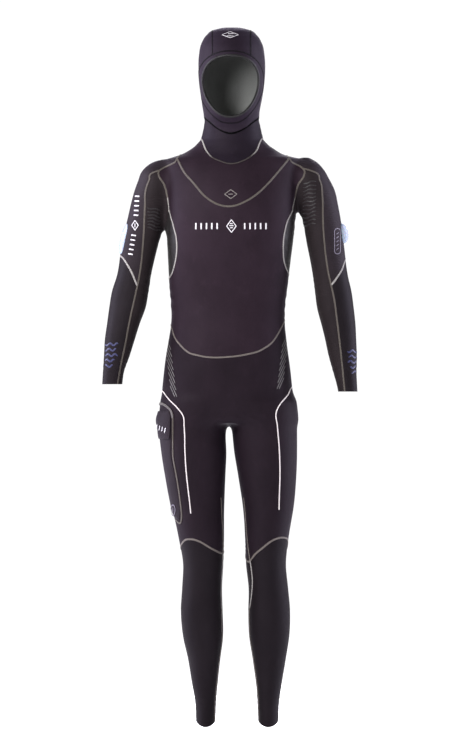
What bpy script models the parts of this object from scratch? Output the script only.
"""A hooded full wetsuit, as the panels it is sewn from.

The suit stands on its ankle hems at z = 0 and faces -Y, with +Z up. The wearer's
right is at -X. Sizes are in millimetres, and the meshes are written out in metres.

The outer form is one smooth distance function, a blend of lofted tubes. Its surface
is cut along the seams into panels, and each panel is thickened inwards.

A shell is a tuple (points, normals, triangles). A field is a function of x, y, z
whose zero level is a line to cut along.
"""

import bpy
import bmesh
import math
import numpy as np
from mathutils import Vector

MM = 0.001            # metres in a millimetre
SIDES = ("right", "left")
OUTWARD = {"right": -1, "left": 1}      # the sign of x away from the middle

# ------------------------------------------------------------------ materials
COLOURS = {
    "shell": (0.026, 0.020, 0.025), "smooth": (0.012, 0.011, 0.012),
    "piping": (0.80, 0.76, 0.72), "tab": (0.55, 0.68, 0.72),
    "zip": (0.02, 0.02, 0.022), "metal": (0.5, 0.5, 0.52),
}
GLOSSY = ("metal", "tab")
GLOSSY_ROUGHNESS, MATT_ROUGHNESS = 0.35, 0.75

# ----------------------------------------------------------- mesh and thickness
CELL = 7.5                              # grid that samples the body form
GRID_LOW = (-345.0, -150.0, -52.0)
GRID_HIGH = (345.0, 150.0, 1730.0)
FORM_TRIANGLES = 2500                   # over the whole outer form
SETTLE_ROUNDS = 3
SETTLE_SHARE = 0.6                      # how far a point moves to its neighbours' mean
SNAP = 1.2            # a mesh point this near a seam is taken to lie on it
LAID_SNAP = 0.3       # the same, for the edges of laid-on pieces
SCORE_SNAP = 0.4      # the same, for lines that only split triangles
SEAM_GAP = 0.25       # each panel stands this far back from its seam
NEOPRENE = 5.0        # wall of the suit
LAYER_GAP = 0.35      # between the wall and a seal or a laid-on piece
SEAL_DEPTH = 2.0      # a seal's inner face, measured in from the lining
SHARP_ANGLE = 50      # degrees
RIM_ORDER = np.array([0.31, 0.17, 1.0])     # direction that orders the ends of a rim edge

# --------------------------------------------------------------------- joints
JOINT_SIZE = 0.04     # drawn size of an empty, metres
NECK_JOINT = (2.0, 14.0, 1436.0)
SHOULDER = {"right": (-168.0, 5.0, 1318.0), "left": (176.0, 5.0, 1318.0)}
ELBOW = {"right": (-246.0, 4.0, 1066.0), "left": (254.0, 4.0, 1066.0)}
HIP = {"right": (-88.0, 8.0, 835.0), "left": (86.0, 8.0, 835.0)}
KNEE = {"right": (-72.0, 6.0, 436.0), "left": (88.0, 6.0, 436.0)}
FLAP_JOINT = (-171.5, -14.0, 771.5)

# ------------------------------------------------------------------ body form
# Level sections: height, middle x, half width, front y, back y.
TORSO = [
    (1436, 4, 66, -46, 74), (1415, 6, 97, -56, 82), (1396, 6, 133, -66, 91),
    (1390, 8, 154, -71, 96), (1383, 6, 167, -76, 100), (1373, 4, 168, -84, 106),
    (1340, 3, 165, -102, 105.8), (1290, 3, 158, -118, 100.6), (1214, 1, 156, -118, 92.7),
    (1141, -2, 150, -108, 85.1), (1082, -4, 145, -101, 79), (1024, -5, 139, -98, 75),
    (985, -5, 139, -99, 82), (945, -6, 144, -101, 94), (906, -7, 150, -102, 107),
    (867, -7, 155, -101, 117), (828, -7, 159, -97, 120), (789, -5, 163, -92, 114),
    (742, -4, 164, -82, 98),
]
NECK = [
    (1520, 3, 58, -66, 66), (1484, 4, 65, -60, 69), (1473, 4.5, 68, -58, 70),
    (1440, 5, 72, -52, 76), (1400, 4, 70, -48, 84), (1350, 5, 66, -48, 88),
]
HEAD = [
    (1708, 4, 24, -15, 32), (1702, 4, 46, -41, 60), (1691, 4, 61, -61, 81),
    (1672, 4, 73.5, -78, 97), (1640, 4, 80.5, -93, 109), (1605, 4, 81.5, -99, 112),
    (1571, 4, 79, -99, 107), (1542, 4, 75, -98, 96), (1512, 3, 70, -92, 80),
    (1490, 3, 62, -80, 68), (1474, 3, 52, -62, 60),
]
ARM = {
    "right": [
        (1383, -172, 8, -6, 14), (1379, -174, 16, -14, 22), (1373, -176, 24, -25, 31),
        (1366, -177.5, 31, -35, 40), (1356, -178, 39, -44, 50), (1336, -179, 46, -52, 58),
        (1311, -187, 47, -54, 60), (1285, -194, 47, -53, 58), (1244, -204, 46, -50, 54),
        (1180, -220, 44.5, -46, 50), (1102, -235, 42, -41, 47), (1063, -244, 45, -41, 48),
        (1024, -251, 44.5, -42, 46), (985, -261, 40, -42, 41), (945, -270, 36.5, -42, 35),
        (906, -277, 31.5, -41, 27), (867, -285, 26, -39, 19), (838, -288, 25, -38, 15),
        (790, -292, 24, -37, 11),
    ],
    "left": [
        (1391, 184, 8, -6, 14), (1386, 186, 16, -14, 22), (1380, 187, 25, -25, 31),
        (1373, 187.5, 32, -36, 40), (1363, 188, 40, -44, 50), (1340, 194, 47, -52, 58),
        (1311, 206, 49, -54, 60), (1276, 214, 49, -53, 58), (1244, 222, 47, -50, 54),
        (1175, 233, 45, -46, 50), (1102, 245, 43, -41, 47), (1063, 252, 45, -41, 48),
        (1024, 257, 45, -42, 46), (985, 264, 42, -42, 41), (945, 270, 38, -42, 35),
        (906, 275, 34.5, -41, 27), (867, 280, 29, -39, 20), (828, 286, 24.5, -38, 14),
        (780, 291, 23, -37, 10),
    ],
}
LEG = {
    "right": [
        (800, -85, 76, -82, 96), (750, -88, 80, -82, 96), (711, -89.5, 79, -80, 92),
        (672, -86.5, 77.5, -77, 88), (613, -83.6, 72, -72, 82), (535, -78, 63.5, -66, 72),
        (457, -70, 55, -61, 62), (398, -66, 49.5, -54, 62), (340, -68.6, 49, -47, 70),
        (281, -69.6, 51, -42, 74), (222, -66.6, 49, -36, 68), (164, -63.6, 39, -29, 58),
        (105, -62, 31, -25, 50), (56, -60, 25, -25, 48), (14, -60, 24, -27, 48),
        (-30, -60, 23, -29, 48),
    ],
    "left": [
        (800, 80, 76, -82, 96), (750, 82, 80, -82, 96), (711, 84.5, 79, -80, 92),
        (672, 86.5, 77, -77, 88), (613, 90.5, 71, -72, 82), (535, 93, 62, -66, 72),
        (457, 89.5, 53, -61, 62), (398, 87.5, 49, -54, 62), (340, 93, 48.5, -47, 70),
        (281, 95.5, 51, -42, 74), (222, 95.5, 49, -36, 68), (164, 95.5, 40, -29, 58),
        (105, 94.5, 31, -25, 50), (56, 93, 26, -25, 48), (14, 93, 24.5, -27, 48),
        (-30, 93, 24, -29, 48),
    ],
}

# -------------------------------------------------------------- upright seams
# Rows of height, x.
SLEEVE_FRONT = {
    "right": [
        (1420, -60), (1380, -92), (1368, -134), (1361, -164), (1356, -182), (1334, -198),
        (1312, -206), (1270, -208), (1192, -212), (1112, -220), (1043, -234), (994, -245),
        (940, -255), (892, -265), (830, -276),
    ],
    "left": [
        (1420, 60), (1380, 104), (1370, 144), (1362, 184), (1356, 203), (1334, 219),
        (1297, 225), (1243, 226), (1204, 228), (1112, 239), (1043, 254), (999, 260),
        (950, 266), (896, 272), (815, 280),
    ],
}
SLEEVE_BACK_SHIFT = 6     # the seam at the back lies this much nearer the middle
ARMHOLE = {
    "right": [
        (1400, -120), (1388, -130), (1378, -136), (1368, -157), (1358, -173), (1346, -174),
        (1326, -162), (1297, -154), (1263, -150), (1240, -153), (1222, -160), (1205, -166),
        (1180, -165), (1141, -170), (1024, -176), (867, -212), (700, -236),
    ],
    "left": [
        (1400, 136), (1388, 145), (1378, 152), (1368, 172), (1358, 181), (1346, 180),
        (1324, 166), (1292, 158), (1262, 152), (1240, 154), (1222, 160), (1205, 168),
        (1180, 169), (1141, 172), (1024, 180), (867, 214), (700, 238),
    ],
}
SIDE_PANEL = {
    "right": [
        (1420, -230), (1350, -195), (1310, -172), (1290, -161), (1263, -150), (1229, -140),
        (1197, -132), (1165, -130), (1131, -135), (1102, -145), (1085, -158), (1060, -190),
    ],
    "left": [
        (1420, 236), (1350, 200), (1310, 178), (1290, 166), (1262, 152), (1224, 136),
        (1192, 130), (1165, 129), (1138, 131), (1114, 139), (1096, 150), (1070, 190),
    ],
}
PIPING = {
    "right": [
        (840, -190), (823, -168), (801, -150), (780, -129), (763, -116), (733, -112),
        (674, -110), (635, -108), (585, -103), (534, -97), (440, -90),
    ],
    "left": [
        (850, 186), (833, 154), (810, 140), (789, 122), (772, 113), (733, 115),
        (686, 119), (630, 121), (545, 119), (440, 118),
    ],
}
POCKET_FRONT = [(790, -148), (763, -141), (662, -141), (593, -127), (534, -119), (505, -121)]

# ---------------------------------------------------------------- level seams
# Rows of x, height.
YOKE_FRONT = [
    (-150, 1420), (-130, 1388), (-115, 1358), (-91, 1329), (-62, 1295), (-37, 1278),
    (0, 1270), (39, 1283), (65, 1300), (95, 1329), (124, 1363), (145, 1390), (165, 1424),
]
YOKE_BACK = [
    (-150, 1420), (-130, 1388), (-100, 1340), (-60, 1310), (0, 1296), (65, 1310),
    (110, 1340), (145, 1390), (165, 1424),
]
WAIST_FRONT = [
    (-170, 1010), (-146, 983), (-136, 953), (-122, 933), (-104, 916), (-77, 907), (0, 904),
    (36, 909), (80, 923), (107, 945), (122, 970), (137, 1000), (165, 1030),
]
WAIST_BACK = [
    (-170, 1012), (-146, 990), (-100, 958), (0, 944), (100, 960), (140, 1000), (165, 1030),
]
NECK_FRONT = [
    (-90, 1434), (-68, 1430), (-60, 1410), (-50, 1396), (-25, 1381), (2, 1374),
    (30, 1381), (54, 1396), (66, 1410), (74, 1430), (95, 1434),
]
NECK_BACK = [(-100, 1438), (100, 1438)]
CHIN_FRONT = [
    (-90, 1500), (-57, 1485), (-30, 1463), (2, 1451), (34, 1463), (64, 1485), (95, 1500),
]
CHIN_BACK = [(-100, 1492), (100, 1492)]
ELBOW_SEAM = {
    "right": [(-300, 1150), (-263, 1146), (-251, 1129), (-239, 1107), (-229, 1082),
              (-180, 1080)],
    "left": [(180, 1080), (248, 1081), (265, 1104), (274, 1120), (281, 1141), (320, 1146)],
}
KNEE_FRONT = {
    "right": [(-150, 436), (-123, 442), (-111, 456), (-96, 459), (-76, 454), (-47, 437),
              (-20, 424), (10, 420)],
    "left": [(20, 404), (50, 408), (58, 419), (78, 437), (103, 456), (128, 463),
             (147, 458), (170, 450)],
}
KNEE_BACK = [(-200, 430), (200, 430)]
EASE = 30.0           # a seam passes from its front to its back table over y = -EASE to EASE
SIDE_Y = 4.0          # plane between the front and back panels of the torso

# ---------------------------------------------------------------- small pieces
FACE_X, FACE_Z = 1.0, 1578.0            # middle of the face opening
FACE_HALF_WIDTH = 69.5
FACE_ABOVE, FACE_BELOW = 61.0, 89.0     # its reach up and down from the middle
FACE_POWER = 2.25
FACE_SCALE = 66                         # turns its relative radius into a distance
BINDING_WIDTH = 11.0
CROWN_RIGHT_X, CROWN_LEFT_X = -44.0, 50.0

WRIST_Z = {"right": 837.0, "left": 819.0}   # straight sleeve ends
WRIST_SEAL = 34.0                           # height of the wrist seal
# Middle height, degrees round from outwards towards the back, height scale, width
# scale, outer face above the sleeve.
ARM_TAB = {"right": (1192.0, -14.0, 37.0, 27.0, 3.6), "left": (1205.5, -3.0, 25.0, 27.0, 8.0)}
ARM_RADIUS = 47                             # turns an angle round the arm into a length

CROTCH_X, CROTCH_Z = -0.5, 716.0
GROIN_OUT, GROIN_UP = 0.633, -0.774         # direction across the groin line
GROIN_OFFSET = 9.0
HEM_Z = 0.0
PIPING_HALF, PIPING_HEIGHT = 1.3, 1.7
ANKLE_SEAL_LOW, ANKLE_SEAL_HIGH = 24.0, 52.0

ZIP_X = 2.0
ZIP_LOW, ZIP_HIGH = 1062.0, 1366.0          # heights of the back zip's ends
ZIP_HALF = 13.0                             # half the zip opening's width
ZIP_FRONT_Y = 10.0                          # the opening lies behind this plane
ZIP_MIDDLE_GAP, ZIP_EDGE_GAP, ZIP_END_GAP = 0.35, 0.6, 0.8
COIL_WIDTH = 2.85
SLIDER_FROM_TOP = 22
INNER_FLAP_HALF = 36


# -------------------------------------------------------------- form function
def through(table, at):
    """A smooth curve through a table of (position, value), in either order."""
    rows = sorted(table)
    xs = np.array([r[0] for r in rows], float)
    ys = np.array([r[1] for r in rows], float)
    slope = np.gradient(ys, xs)
    at = np.clip(at, xs[0], xs[-1])
    i = np.clip(np.searchsorted(xs, at) - 1, 0, len(xs) - 2)
    span = xs[i + 1] - xs[i]
    t = (at - xs[i]) / span
    return ((2 * t**3 - 3 * t**2 + 1) * ys[i] + (t**3 - 2 * t**2 + t) * span * slope[i]
            + (-2 * t**3 + 3 * t**2) * ys[i + 1] + (t**3 - t**2) * span * slope[i + 1])


def section_value(sections, column, z):
    """One column of a table of level sections, at height z."""
    return through([(s[0], s[column]) for s in sections], z)


def limb_middle(sections, z):
    """The y halfway between a limb's front and back."""
    return (section_value(sections, 3, z) + section_value(sections, 4, z)) / 2


def tube(x, y, z, sections, power, cap):
    """Signed distance, near enough, to a tube lofted through level sections.

    power is the roundness of a section, and cap the rounding radius of the ends."""
    low, high = min(s[0] for s in sections), max(s[0] for s in sections)
    middle_x, half_width, front, back = (section_value(sections, k, z) for k in (1, 2, 3, 4))
    dx, dy = x - middle_x, y - (front + back) / 2
    half_depth = (back - front) / 2
    reach = ((np.abs(dx) / half_width) ** power + (np.abs(dy) / half_depth) ** power
             + 1e-9) ** (1 / power)
    side = np.maximum(np.hypot(dx, dy), 1e-6) * (1 - 1 / reach)
    side = np.maximum(side, (reach - 1) * np.minimum(half_width, half_depth))
    end = np.maximum(z - high, low - z)
    a, b = side + cap, end + cap
    return (np.hypot(np.maximum(a, 0), np.maximum(b, 0)) - cap
            + np.minimum(np.maximum(a, b), 0))


def blend(a, b, width):
    """Union of two distances with a rounded valley between them."""
    overlap = np.maximum(width - np.abs(a - b), 0) / width
    return np.minimum(a, b) - overlap * overlap * width / 4


def body(x, y, z):
    """Signed distance to the suit's outer form."""
    form = tube(x, y, z, TORSO, power=2.35, cap=14)
    form = blend(form, tube(x, y, z, NECK, power=2.0, cap=8), width=34)
    form = blend(form, tube(x, y, z, HEAD, power=2.1, cap=4), width=16)
    for side in SIDES:
        form = blend(form, tube(x, y, z, ARM[side], power=2.05, cap=2), width=24)
    right, left = (tube(x, y, z, LEG[side], power=2.1, cap=10) for side in SIDES)
    return blend(form, blend(right, left, width=9), width=24)


def slope_of(points, step=0.5):
    """The body form's gradient at each point."""
    gradient = np.empty_like(points)
    for k in range(3):
        shift = np.zeros(3)
        shift[k] = step
        gradient[:, k] = (body(*(points + shift).T) - body(*(points - shift).T)) / (2 * step)
    return gradient


# --------------------------------------------------------------- form surface
def edge_ends(axis):
    """Index tuples of the low and high ends of all grid edges along an axis."""
    low, high = [slice(None)] * 3, [slice(None)] * 3
    low[axis], high[axis] = slice(0, -1), slice(1, None)
    return tuple(low), tuple(high)


def body_surface():
    """The zero surface of the body form as quads: one point in each grid cell it crosses."""
    grid_low = np.array(GRID_LOW)
    n = np.ceil((np.array(GRID_HIGH) - grid_low) / CELL).astype(int)
    axes = [grid_low[k] + CELL * np.arange(n[k] + 1) for k in range(3)]
    grid_x, grid_y = np.meshgrid(axes[0], axes[1], indexing="ij")
    value = np.stack([body(grid_x, grid_y, np.full_like(grid_x, h)) for h in axes[2]], axis=2)
    inside = value < 0

    # A cell's point is the mean of the crossings on its edges.
    total, count = np.zeros(tuple(n) + (3,)), np.zeros(tuple(n))
    for k in range(3):
        low, high = edge_ends(k)
        crossed = inside[low] != inside[high]
        share = np.where(crossed, value[low] / np.where(crossed, value[low] - value[high], 1), 0)
        p, q = [m for m in range(3) if m != k]
        for dp in (0, 1):
            for dq in (0, 1):
                source = [slice(None)] * 3
                source[p] = slice(dp, n[p] + dp)
                source[q] = slice(dq, n[q] + dq)
                here = crossed[tuple(source)]
                total[..., k] += np.where(here, share[tuple(source)], 0)
                total[..., p] += np.where(here, float(dp), 0)
                total[..., q] += np.where(here, float(dq), 0)
                count += here
    used = count > 0
    index = np.full(tuple(n), -1)
    index[used] = np.arange(used.sum())
    points = grid_low + CELL * (np.argwhere(used) + total[used] / count[used][:, None])

    # Each crossed grid edge gives one quad, between the four cells around it.
    quads = []
    for k in range(3):
        low, high = edge_ends(k)
        edges = np.argwhere(inside[low] != inside[high])
        p, q = [m for m in range(3) if m != k]
        edges = edges[(edges[:, p] > 0) & (edges[:, q] > 0)
                      & (edges[:, p] < n[p]) & (edges[:, q] < n[q])]
        ring = []
        for dp, dq in ((-1, -1), (0, -1), (0, 0), (-1, 0)):
            cell = edges.copy()
            cell[:, p] += dp
            cell[:, q] += dq
            ring.append(index[cell[:, 0], cell[:, 1], cell[:, 2]])
        ring = np.stack(ring, 1)
        outward = inside[low][edges[:, 0], edges[:, 1], edges[:, 2]]
        in_order = outward if k != 1 else ~outward
        ring[~in_order] = ring[~in_order][:, ::-1]
        quads.append(ring)
    return points, np.concatenate(quads)


def settle(points, quads):
    """Evens the mesh out and brings each point back onto the surface."""
    ends = np.concatenate([quads[:, [i, (i + 1) % 4]] for i in range(4)])
    for _ in range(SETTLE_ROUNDS):
        total, count = np.zeros_like(points), np.zeros(len(points))
        for here, there in ((0, 1), (1, 0)):
            np.add.at(total, ends[:, here], points[ends[:, there]])
            np.add.at(count, ends[:, here], 1)
        points = points + SETTLE_SHARE * (total / count[:, None] - points)
        for _ in range(2):
            slope = slope_of(points)
            steepness = np.maximum((slope * slope).sum(1), 0.2)
            points = points - (body(*points.T) / steepness)[:, None] * slope
    return points


def form_shell():
    """The whole outer form as a shell, thinned to its triangle count."""
    points, quads = body_surface()
    points = settle(points, quads)
    mesh = bpy.data.meshes.new("form")
    mesh.from_pydata([tuple(p) for p in points], [], [tuple(int(i) for i in q) for q in quads])
    obj = bpy.data.objects.new("form", mesh)
    bpy.context.scene.collection.objects.link(obj)
    thin = obj.modifiers.new("thin", "DECIMATE")
    thin.ratio = FORM_TRIANGLES / (2 * len(quads))
    thin.use_collapse_triangulate = True
    bpy.context.view_layer.update()
    light = obj.evaluated_get(bpy.context.evaluated_depsgraph_get()).to_mesh()
    light.calc_loop_triangles()
    points = np.array([v.co for v in light.vertices])
    faces = np.array([t.vertices for t in light.loop_triangles])
    bpy.data.objects.remove(obj)
    normals = slope_of(points)
    normals /= np.linalg.norm(normals, axis=1)[:, None]
    return points, normals, faces


# -------------------------------------------------------------------- cutting
def splitter(points, normals, values):
    """Growing lists of points and normals, and a function that returns the index of
    the zero crossing between two points, adding it when it is new."""
    new_points, new_normals, made = list(points), list(normals), {}

    def crossing(p, q):
        key = a, b = min(p, q), max(p, q)
        if key not in made:
            t = values[a] / (values[a] - values[b])
            made[key] = len(new_points)
            new_points.append(points[a] + t * (points[b] - points[a]))
            new_normals.append(normals[a] + t * (normals[b] - normals[a]))
        return made[key]

    return new_points, new_normals, crossing


def fan(loop):
    """A convex loop as triangles."""
    return [(loop[0], loop[i], loop[i + 1]) for i in range(1, len(loop) - 1)]


def compact(points, normals, faces):
    """The same faces without the points they leave unused."""
    used = np.zeros(len(points), bool)
    used[faces.reshape(-1)] = True
    index = np.cumsum(used) - 1
    return points[used], normals[used], index[faces]


def trimmed(shell, values):
    """The part of a shell where the values at its points are above zero."""
    points, normals, faces = shell
    keep = values[faces] > 0
    partly = keep.any(1) & ~keep.all(1)
    new_points, new_normals, crossing = splitter(points, normals, values)
    new_faces = [tuple(f) for f in faces[keep.all(1)]]
    for face in faces[partly]:
        loop = []
        for i in range(3):
            p, q = int(face[i]), int(face[(i + 1) % 3])
            if values[p] > 0:
                loop.append(p)
            if (values[p] > 0) != (values[q] > 0):
                loop.append(crossing(p, q))
        new_faces += fan(loop)
    return compact(np.array(new_points), np.array(new_normals),
                   np.array(new_faces, int).reshape(-1, 3))


def cut(shell, field, snap=SNAP, gap=SEAM_GAP):
    """Cuts a shell along a field's zero line: (the part below it, the part above it).

    Each part ends a gap short of the line, so the two never meet."""
    raw = field(*shell[0].T)
    values = np.where(np.abs(raw) < snap, 0.0, raw)
    return tuple(trimmed(shell, sign * values - gap) for sign in (-1, 1))


def cut_outboard(shell, field, side):
    """Cuts along an upright line: (the part away from the middle, the part towards it)."""
    low_x, high_x = cut(shell, field)
    return (low_x, high_x) if side == "right" else (high_x, low_x)


def above(shell, field):
    """The part of a shell above a field's zero line, cut exactly on the line."""
    return trimmed(shell, field(*shell[0].T))


def within(shell, fields, snap=LAID_SNAP):
    """The part of a shell that lies below every one of the fields."""
    for field in fields:
        shell = cut(shell, field, snap, gap=0.0)[0]
    return shell


def scored(shell, field):
    """The same shell with its triangles split along a line, so a later cut can follow it."""
    points, normals, faces = shell
    values = field(*points.T)
    values = np.where(np.abs(values) < SCORE_SNAP, 0.0, values)
    new_points, new_normals, crossing = splitter(points, normals, values)
    new_faces = []
    for face in faces:
        low, high = [], []
        for i in range(3):
            p, q = int(face[i]), int(face[(i + 1) % 3])
            if values[p] <= 0:
                low.append(p)
            if values[p] >= 0:
                high.append(p)
            if values[p] * values[q] < 0:
                middle = crossing(p, q)
                low.append(middle)
                high.append(middle)
        if (values[face] == 0).all():
            high = []
        new_faces += fan(low) + fan(high)
    return np.array(new_points), np.array(new_normals), np.array(new_faces, int)


def keep_main(shell):
    """The largest connected part of a shell, leaving out slivers a seam cut loose."""
    points, normals, faces = shell
    label = np.arange(len(points))
    while True:
        low = label[faces].min(1)
        new = label.copy()
        for i in range(3):
            np.minimum.at(new, faces[:, i], low)
        new = new[new]
        if (new == label).all():
            break
        label = new
    root = label[faces[:, 0]]
    names, counts = np.unique(root, return_counts=True)
    return compact(points, normals, faces[root == names[counts.argmax()]])


# --------------------------------------------------------------------- fields
def beyond(axis, limit):
    """Distance past a level of x, y or z; as a limit, it keeps what is below the level."""
    k = "xyz".index(axis)
    return lambda *point: point[k] - limit


def short_of(axis, limit):
    """Distance short of a level of x, y or z; as a limit, it keeps what is above."""
    k = "xyz".index(axis)
    return lambda *point: limit - point[k]


def by_side(front, back, y):
    """The front value before the plane y = 0, the back value behind it, eased between."""
    t = np.clip((y + EASE) / (2 * EASE), 0, 1)
    t = t * t * (3 - 2 * t)
    return front + (back - front) * t


def steep(table, at):
    """How much a seam's table leans, to turn an offset into a distance."""
    return np.sqrt(1 + ((through(table, at + 1) - through(table, at - 1)) / 2) ** 2)


def seam_offset(front, back, across, along, y):
    line = by_side(through(front, along), through(back, along), y)
    return (across - line) / by_side(steep(front, along), steep(back, along), y)


def level_seam(front, back=None):
    """Distance above a seam given as height at each x."""
    return lambda x, y, z: seam_offset(front, back or front, z, x, y)


def upright_seam(front, back=None):
    """Distance towards +X of a seam given as x at each height."""
    return lambda x, y, z: seam_offset(front, back or front, x, z, y)


def face_edge(x, y, z):
    """Distance outside the face opening, an egg seen from the front; far away at the back."""
    up = z - FACE_Z
    narrowing = 1 - 0.16 * np.clip(-up / 90, 0, 1) ** 1.5
    wide = FACE_HALF_WIDTH * narrowing
    tall = np.where(up > 0, FACE_ABOVE, FACE_BELOW)
    radius = ((np.abs(x - FACE_X) / wide) ** FACE_POWER + (np.abs(up) / tall) ** FACE_POWER
              + 1e-9) ** (1 / FACE_POWER)
    out = (radius - 1) * FACE_SCALE
    return np.where(y > 0, np.maximum(out, 20 + y), out)


def groin(side):
    """Distance beyond the groin line of one leg, which climbs from the crotch to the hip."""
    turn = OUTWARD[side]
    return lambda x, y, z: np.minimum(
        (x - CROTCH_X) * (GROIN_OUT * turn) + (z - CROTCH_Z) * GROIN_UP - GROIN_OFFSET,
        (x - CROTCH_X) * turn)


def hem_corners(side):
    """Distance above a hem line that lifts towards both sides of the ankle."""
    ankle_x = LEG[side][-2][1]

    def field(x, y, z):
        lift = 20 * np.clip((np.abs(x - ankle_x) - 13) / 11, 0, 1.4) ** 2
        return np.where(z > 40, 40.0, z - lift)

    return field


def arm_tab_edges(side):
    """The eight edges of the cut-cornered tab on the outside of an upper arm."""
    middle_z, turn, tall, broad, _ = ARM_TAB[side]

    def across(x, y, z):
        """Distance round the arm from the tab's middle."""
        middle_x = section_value(ARM[side], 1, z)
        angle = np.degrees(np.arctan2(y - limb_middle(ARM[side], z),
                                      OUTWARD[side] * (x - middle_x)))
        return (angle - turn) * math.pi / 180 * ARM_RADIUS

    def edge(a, b):
        return lambda x, y, z: ((a * across(x, y, z) / (0.62 * broad)
                                 + b * (z - middle_z) / tall) * 20
                                - 20 * (abs(a) + abs(b)) ** 0.62)

    return [edge(a, b) for a, b in ((1, 0), (-1, 0), (0, 1), (0, -1),
                                    (1, 1), (1, -1), (-1, 1), (-1, -1))]


def zip_slot(x, y, z):
    """Distance outside the opening for the back zip."""
    return np.maximum(np.maximum(np.abs(x - ZIP_X) - ZIP_HALF, ZIP_LOW - z),
                      np.maximum(z - ZIP_HIGH, ZIP_FRONT_Y - y))


# --------------------------------------------------------- materials and joints
def make_material(name, colour):
    material = bpy.data.materials.new(name)
    material.use_nodes = True
    inputs = material.node_tree.nodes["Principled BSDF"].inputs
    inputs["Base Color"].default_value = (*colour, 1)
    inputs["Roughness"].default_value = GLOSSY_ROUGHNESS if name in GLOSSY else MATT_ROUGHNESS
    inputs["Metallic"].default_value = 1.0 if name == "metal" else 0.0
    return material


JOINTS = {}           # name: (empty, position)


def add_joint(name, position, parent=None):
    """Stands an empty on a joint, to carry the pieces that move with it."""
    empty = bpy.data.objects.new("joint_" + name, None)
    empty.empty_display_size = JOINT_SIZE
    bpy.context.scene.collection.objects.link(empty)
    base = (0, 0, 0)
    if parent:
        empty.parent, base = JOINTS[parent]
    empty.location = (Vector(position) - Vector(base)) * MM
    JOINTS[name] = (empty, position)


# --------------------------------------------------------------------- solids
def finish(name, mesh, material, joint, origin):
    """Makes a piece from a mesh modelled around origin, and hangs it on its joint."""
    mesh.validate()
    mesh.shade_smooth()
    mesh.set_sharp_from_angle(angle=math.radians(SHARP_ANGLE))
    mesh.materials.append(MATERIALS[material])
    obj = bpy.data.objects.new(name, mesh)
    bpy.context.scene.collection.objects.link(obj)
    obj.parent, base = JOINTS[joint]
    obj.location = Vector([origin[k] - base[k] for k in range(3)]) * MM


def panel(name, shell, joint, material="shell", outer=0.0, inner=-NEOPRENE, flat_z=None):
    """A solid between two offsets of a shell, with its origin on its joint.

    An edge cut at the height flat_z is left flat."""
    points, normals, faces = keep_main(shell)
    if flat_z is not None:
        normals = normals.copy()
        normals[np.abs(points[:, 2] - flat_z) < 0.01, 2] = 0.0
    n = len(points)
    edges = {(int(f[i]), int(f[(i + 1) % 3])): True for f in faces for i in range(3)}
    solid_faces = [tuple(int(i) for i in f) for f in faces]
    solid_faces += [tuple(int(i) + n for i in f[::-1]) for f in faces]
    # The rim's squares are split the same way on both sides of a seam.
    for a, b in edges:
        if (b, a) not in edges:
            if points[a] @ RIM_ORDER < points[b] @ RIM_ORDER:
                solid_faces += [(b, a, b + n), (a, a + n, b + n)]
            else:
                solid_faces += [(b, a, a + n), (b, a + n, b + n)]
    origin = JOINTS[joint][1]
    verts = np.concatenate([points + outer * normals, points + inner * normals])
    verts = (verts - np.array(origin)) * MM
    mesh = bpy.data.meshes.new(name)
    mesh.from_pydata([tuple(v) for v in verts], [], solid_faces)
    finish(name, mesh, material, joint, origin)


def seal(name, shell, joint, flat_z=None):
    """A smooth band lining the end of a limb."""
    panel(name, shell, joint, "smooth", outer=-NEOPRENE - LAYER_GAP,
          inner=-NEOPRENE - SEAL_DEPTH, flat_z=flat_z)


def block(name, corner, size, material, joint, origin, frame, chamfer=0.0):
    """A block given by its low corner and size along the three directions of frame."""
    bm = bmesh.new()
    bmesh.ops.create_cube(bm, size=1.0)
    for v in bm.verts:
        v.co = Vector([corner[k] + (v.co[k] + 0.5) * size[k] for k in range(3)])
    if chamfer:
        bmesh.ops.bevel(bm, geom=list(bm.edges), offset=chamfer, segments=2,
                        affect="EDGES", profile=0.5)
    x, y, z = (Vector(d) for d in frame)
    for v in bm.verts:
        v.co = (x * v.co.x + y * v.co.y + z * v.co.z) * MM
    bmesh.ops.recalc_face_normals(bm, faces=bm.faces)
    mesh = bpy.data.meshes.new(name)
    bm.to_mesh(mesh)
    bm.free()
    finish(name, mesh, material, joint, origin)


# --------------------------------------------------------------- suit sections
def build_hood(head):
    """Neck, face binding, crown strip and the two sides of the hood."""
    add_joint("hood", NECK_JOINT, "torso")
    neck, head = cut(head, level_seam(CHIN_FRONT, CHIN_BACK))
    panel("hood_neck", neck, "hood")
    _, head = cut(head, face_edge)
    binding, head = cut(head, lambda x, y, z: face_edge(x, y, z) - BINDING_WIDTH)
    panel("face_binding", binding, "hood", "smooth")
    side_right, head = cut(head, beyond("x", CROWN_RIGHT_X))
    crown, side_left = cut(head, beyond("x", CROWN_LEFT_X))
    panel("hood_crown", crown, "hood")
    panel("hood_side_right", side_right, "hood")
    panel("hood_side_left", side_left, "hood")


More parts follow.
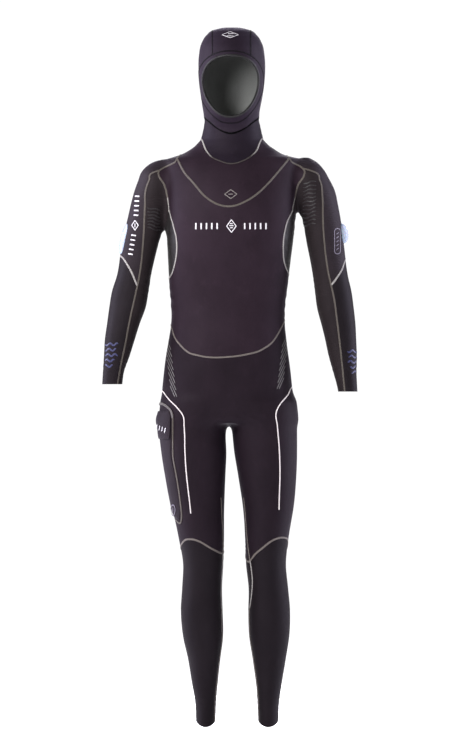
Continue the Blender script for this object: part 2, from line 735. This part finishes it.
def build_sleeve(arm, side):
    """Upper and lower sleeve, each in two panels, with the wrist seal and the arm tab."""
    upper_joint, fore_joint = f"{side}_upper_arm", f"{side}_forearm"
    add_joint(upper_joint, SHOULDER[side], "torso")
    add_joint(fore_joint, ELBOW[side], upper_joint)
    wrist = WRIST_Z[side]
    arm = above(arm, beyond("z", wrist))
    fore, upper = cut(arm, level_seam(ELBOW_SEAM[side]))
    front = SLEEVE_FRONT[side]
    back = [(height, x - OUTWARD[side] * SLEEVE_BACK_SHIFT) for height, x in front]
    for part, label, joint in ((upper, "sleeve", upper_joint), (fore, "forearm", fore_joint)):
        outer_part, inner_part = cut_outboard(part, upright_seam(front, back), side)
        panel(f"{label}_outer_{side}", outer_part, joint, flat_z=wrist)
        panel(f"{label}_inner_{side}", inner_part, joint, flat_z=wrist)
    cuff, _ = cut(fore, beyond("z", wrist + WRIST_SEAL))
    seal(f"wrist_seal_{side}", cuff, fore_joint, flat_z=wrist)
    panel(f"arm_tab_{side}", within(upper, arm_tab_edges(side)), upper_joint, "tab",
          outer=ARM_TAB[side][4], inner=LAYER_GAP)


def build_torso(trunk):
    """Yoke, side panels, chest and back; returns what lies below the waist seam."""
    trunk, yoke = cut(trunk, level_seam(YOKE_FRONT, YOKE_BACK))
    for line in (beyond("x", ZIP_X), beyond("x", ZIP_X + ZIP_HALF),
                 beyond("x", ZIP_X - ZIP_HALF), beyond("z", ZIP_LOW),
                 beyond("z", ZIP_HIGH), beyond("y", ZIP_FRONT_Y)):
        yoke, trunk = scored(yoke, line), scored(trunk, line)
    _, yoke = cut(yoke, zip_slot, snap=0.0)
    panel("yoke", yoke, "torso")
    lower, chest = cut(trunk, level_seam(WAIST_FRONT, WAIST_BACK))
    for side in SIDES:
        side_part, chest = cut_outboard(chest, upright_seam(SIDE_PANEL[side]), side)
        panel(f"side_panel_{side}", side_part, "torso", "smooth")
    front, back = cut(chest, beyond("y", SIDE_Y))
    _, back = cut(back, zip_slot, snap=0.0)
    panel("chest_front", front, "torso")
    panel("back_panel", back, "torso")
    return lower


def build_pelvis(lower):
    """Pelvis front and seat; returns the legs by side."""
    legs = {}
    for side in SIDES:
        lower, legs[side] = cut(lower, groin(side))
    front, back = cut(lower, beyond("y", SIDE_Y))
    panel("pelvis_front", front, "torso")
    panel("seat", back, "torso")
    return legs


def build_piping(thigh, side, pipe):
    """A narrow raised line down the front of the thigh."""
    for height in range(532, 830, 22):
        thigh = scored(thigh, beyond("z", height))
    band = within(thigh, [lambda x, y, z: pipe(x, y, z) - PIPING_HALF,
                          lambda x, y, z: -pipe(x, y, z) - PIPING_HALF,
                          beyond("y", -6), short_of("z", 520)], snap=0.0)
    panel(f"piping_{side}", band, f"{side}_thigh", "piping", outer=PIPING_HEIGHT,
          inner=LAYER_GAP)


def build_leg(leg, side):
    """Thigh, shin and calf, with the piping and the ankle seal; returns the thigh."""
    thigh_joint, shin_joint = f"{side}_thigh", f"{side}_shin"
    add_joint(thigh_joint, HIP[side], "torso")
    add_joint(shin_joint, KNEE[side], thigh_joint)
    leg = above(leg, beyond("z", HEM_Z))
    leg = above(leg, hem_corners(side))
    shin, thigh = cut(leg, level_seam(KNEE_FRONT[side], KNEE_BACK))
    pipe = upright_seam(PIPING[side])

    def behind_middle(x, y, z):
        return y - limb_middle(LEG[side], z)

    def beside_front(x, y, z):
        return np.maximum(OUTWARD[side] * pipe(x, y, z), behind_middle(x, y, z))

    front, outer_part = cut(thigh, beside_front)
    panel(f"thigh_front_{side}", front, thigh_joint)
    panel(f"thigh_outer_{side}", outer_part, thigh_joint)
    build_piping(thigh, side, pipe)
    front, back = cut(shin, behind_middle)
    panel(f"shin_{side}", front, shin_joint, flat_z=HEM_Z)
    panel(f"calf_{side}", back, shin_joint, flat_z=HEM_Z)
    cuff, _ = cut(shin, beyond("z", ANKLE_SEAL_HIGH))
    _, cuff = cut(cuff, beyond("z", ANKLE_SEAL_LOW))
    seal(f"ankle_seal_{side}", cuff, shin_joint)
    return thigh


def build_pocket(thigh):
    """Pocket on the outside of the right thigh, and the flap over its top."""
    edge = upright_seam(POCKET_FRONT)
    pocket = within(thigh, [lambda x, y, z: edge(x, y, z) + 2.5, beyond("y", 42),
                            beyond("z", 772),
                            lambda x, y, z: 505 + 0.28 * (y + 40) - z])
    panel("pocket_body", pocket, "right_thigh", outer=3.2, inner=LAYER_GAP)
    flap = within(thigh, [lambda x, y, z: edge(x, y, z) + 4.0, beyond("y", 40),
                          beyond("z", 771), short_of("z", 704)])
    add_joint("pocket_flap", FLAP_JOINT, "right_thigh")
    panel("pocket_flap", flap, "pocket_flap", outer=7.4, inner=3.8)


def on_back(height):
    """The y of the body form's back on the zip's line at a height."""
    y = 110.0
    for _ in range(30):
        y -= float(body(np.array([ZIP_X]), np.array([y]), np.array([height]))[0])
    return y


def build_zip(whole):
    """Back zip: straight tapes and coils, slider and puller, and the flap inside."""
    low_y, high_y = on_back(ZIP_LOW), on_back(ZIP_HIGH)
    lean = (high_y - low_y) / (ZIP_HIGH - ZIP_LOW)
    length = math.hypot(1, lean)
    up, out = (0, lean / length, 1 / length), (0, 1 / length, -lean / length)
    run = (ZIP_HIGH - ZIP_LOW) * length
    frame = ((1, 0, 0), out, up)
    start = (ZIP_X, low_y, ZIP_LOW)

    tape_width = ZIP_HALF - ZIP_MIDDLE_GAP - ZIP_EDGE_GAP
    for side in SIDES:
        # name, width, then inner face and thickness outwards, start and length upwards
        for part, width, depth, thick, low, tall in (
                ("tape", tape_width, -2.9, 1.6, ZIP_END_GAP, run - 2 * ZIP_END_GAP),
                ("coil", COIL_WIDTH, -1.1, 2.0, 2.0, run - 6)):
            low_x = ZIP_MIDDLE_GAP if side == "left" else -ZIP_MIDDLE_GAP - width
            block(f"zip_{part}_{side}", (low_x, depth, low), (width, thick, tall), "zip",
                  "torso", start, frame)

    slider = tuple(start[k] + up[k] * (run - SLIDER_FROM_TOP) for k in range(3))
    add_joint("zip_slider", slider, "torso")
    block("zip_slider", (-5.5, 1.3, -8.5), (11.0, 3.4, 17.0), "metal", "zip_slider",
          slider, frame, chamfer=0.9)
    puller = tuple(slider[k] + out[k] * 6.4 + up[k] * 3 for k in range(3))
    add_joint("zip_puller", puller, "zip_slider")
    block("zip_puller", (-4.5, -1.2, -46.0), (9.0, 2.4, 46.5), "metal", "zip_puller",
          puller, frame, chamfer=0.7)

    flap = within(whole, [beyond("x", ZIP_X + INNER_FLAP_HALF),
                          short_of("x", ZIP_X - INNER_FLAP_HALF),
                          short_of("z", ZIP_LOW - 22), beyond("z", ZIP_HIGH + 14),
                          short_of("y", 20)])
    panel("zip_inner_flap", flap, "torso", "smooth", outer=-NEOPRENE - 1.2,
          inner=-NEOPRENE - 3.0)


# ---------------------------------------------------------------------- build
for old in list(bpy.data.objects):
    bpy.data.objects.remove(old)

MATERIALS = {name: make_material(name, colour) for name, colour in COLOURS.items()}
whole_form = form_shell()
add_joint("torso", (0, 0, 0))

trunk_part, head_part = cut(whole_form, level_seam(NECK_FRONT, NECK_BACK))
build_hood(head_part)
for arm_side in SIDES:
    arm_part, trunk_part = cut_outboard(trunk_part, upright_seam(ARMHOLE[arm_side]), arm_side)
    build_sleeve(arm_part, arm_side)
leg_parts = build_pelvis(build_torso(trunk_part))
thighs = {leg_side: build_leg(leg_parts[leg_side], leg_side) for leg_side in SIDES}
build_pocket(thighs["right"])
build_zip(whole_form)
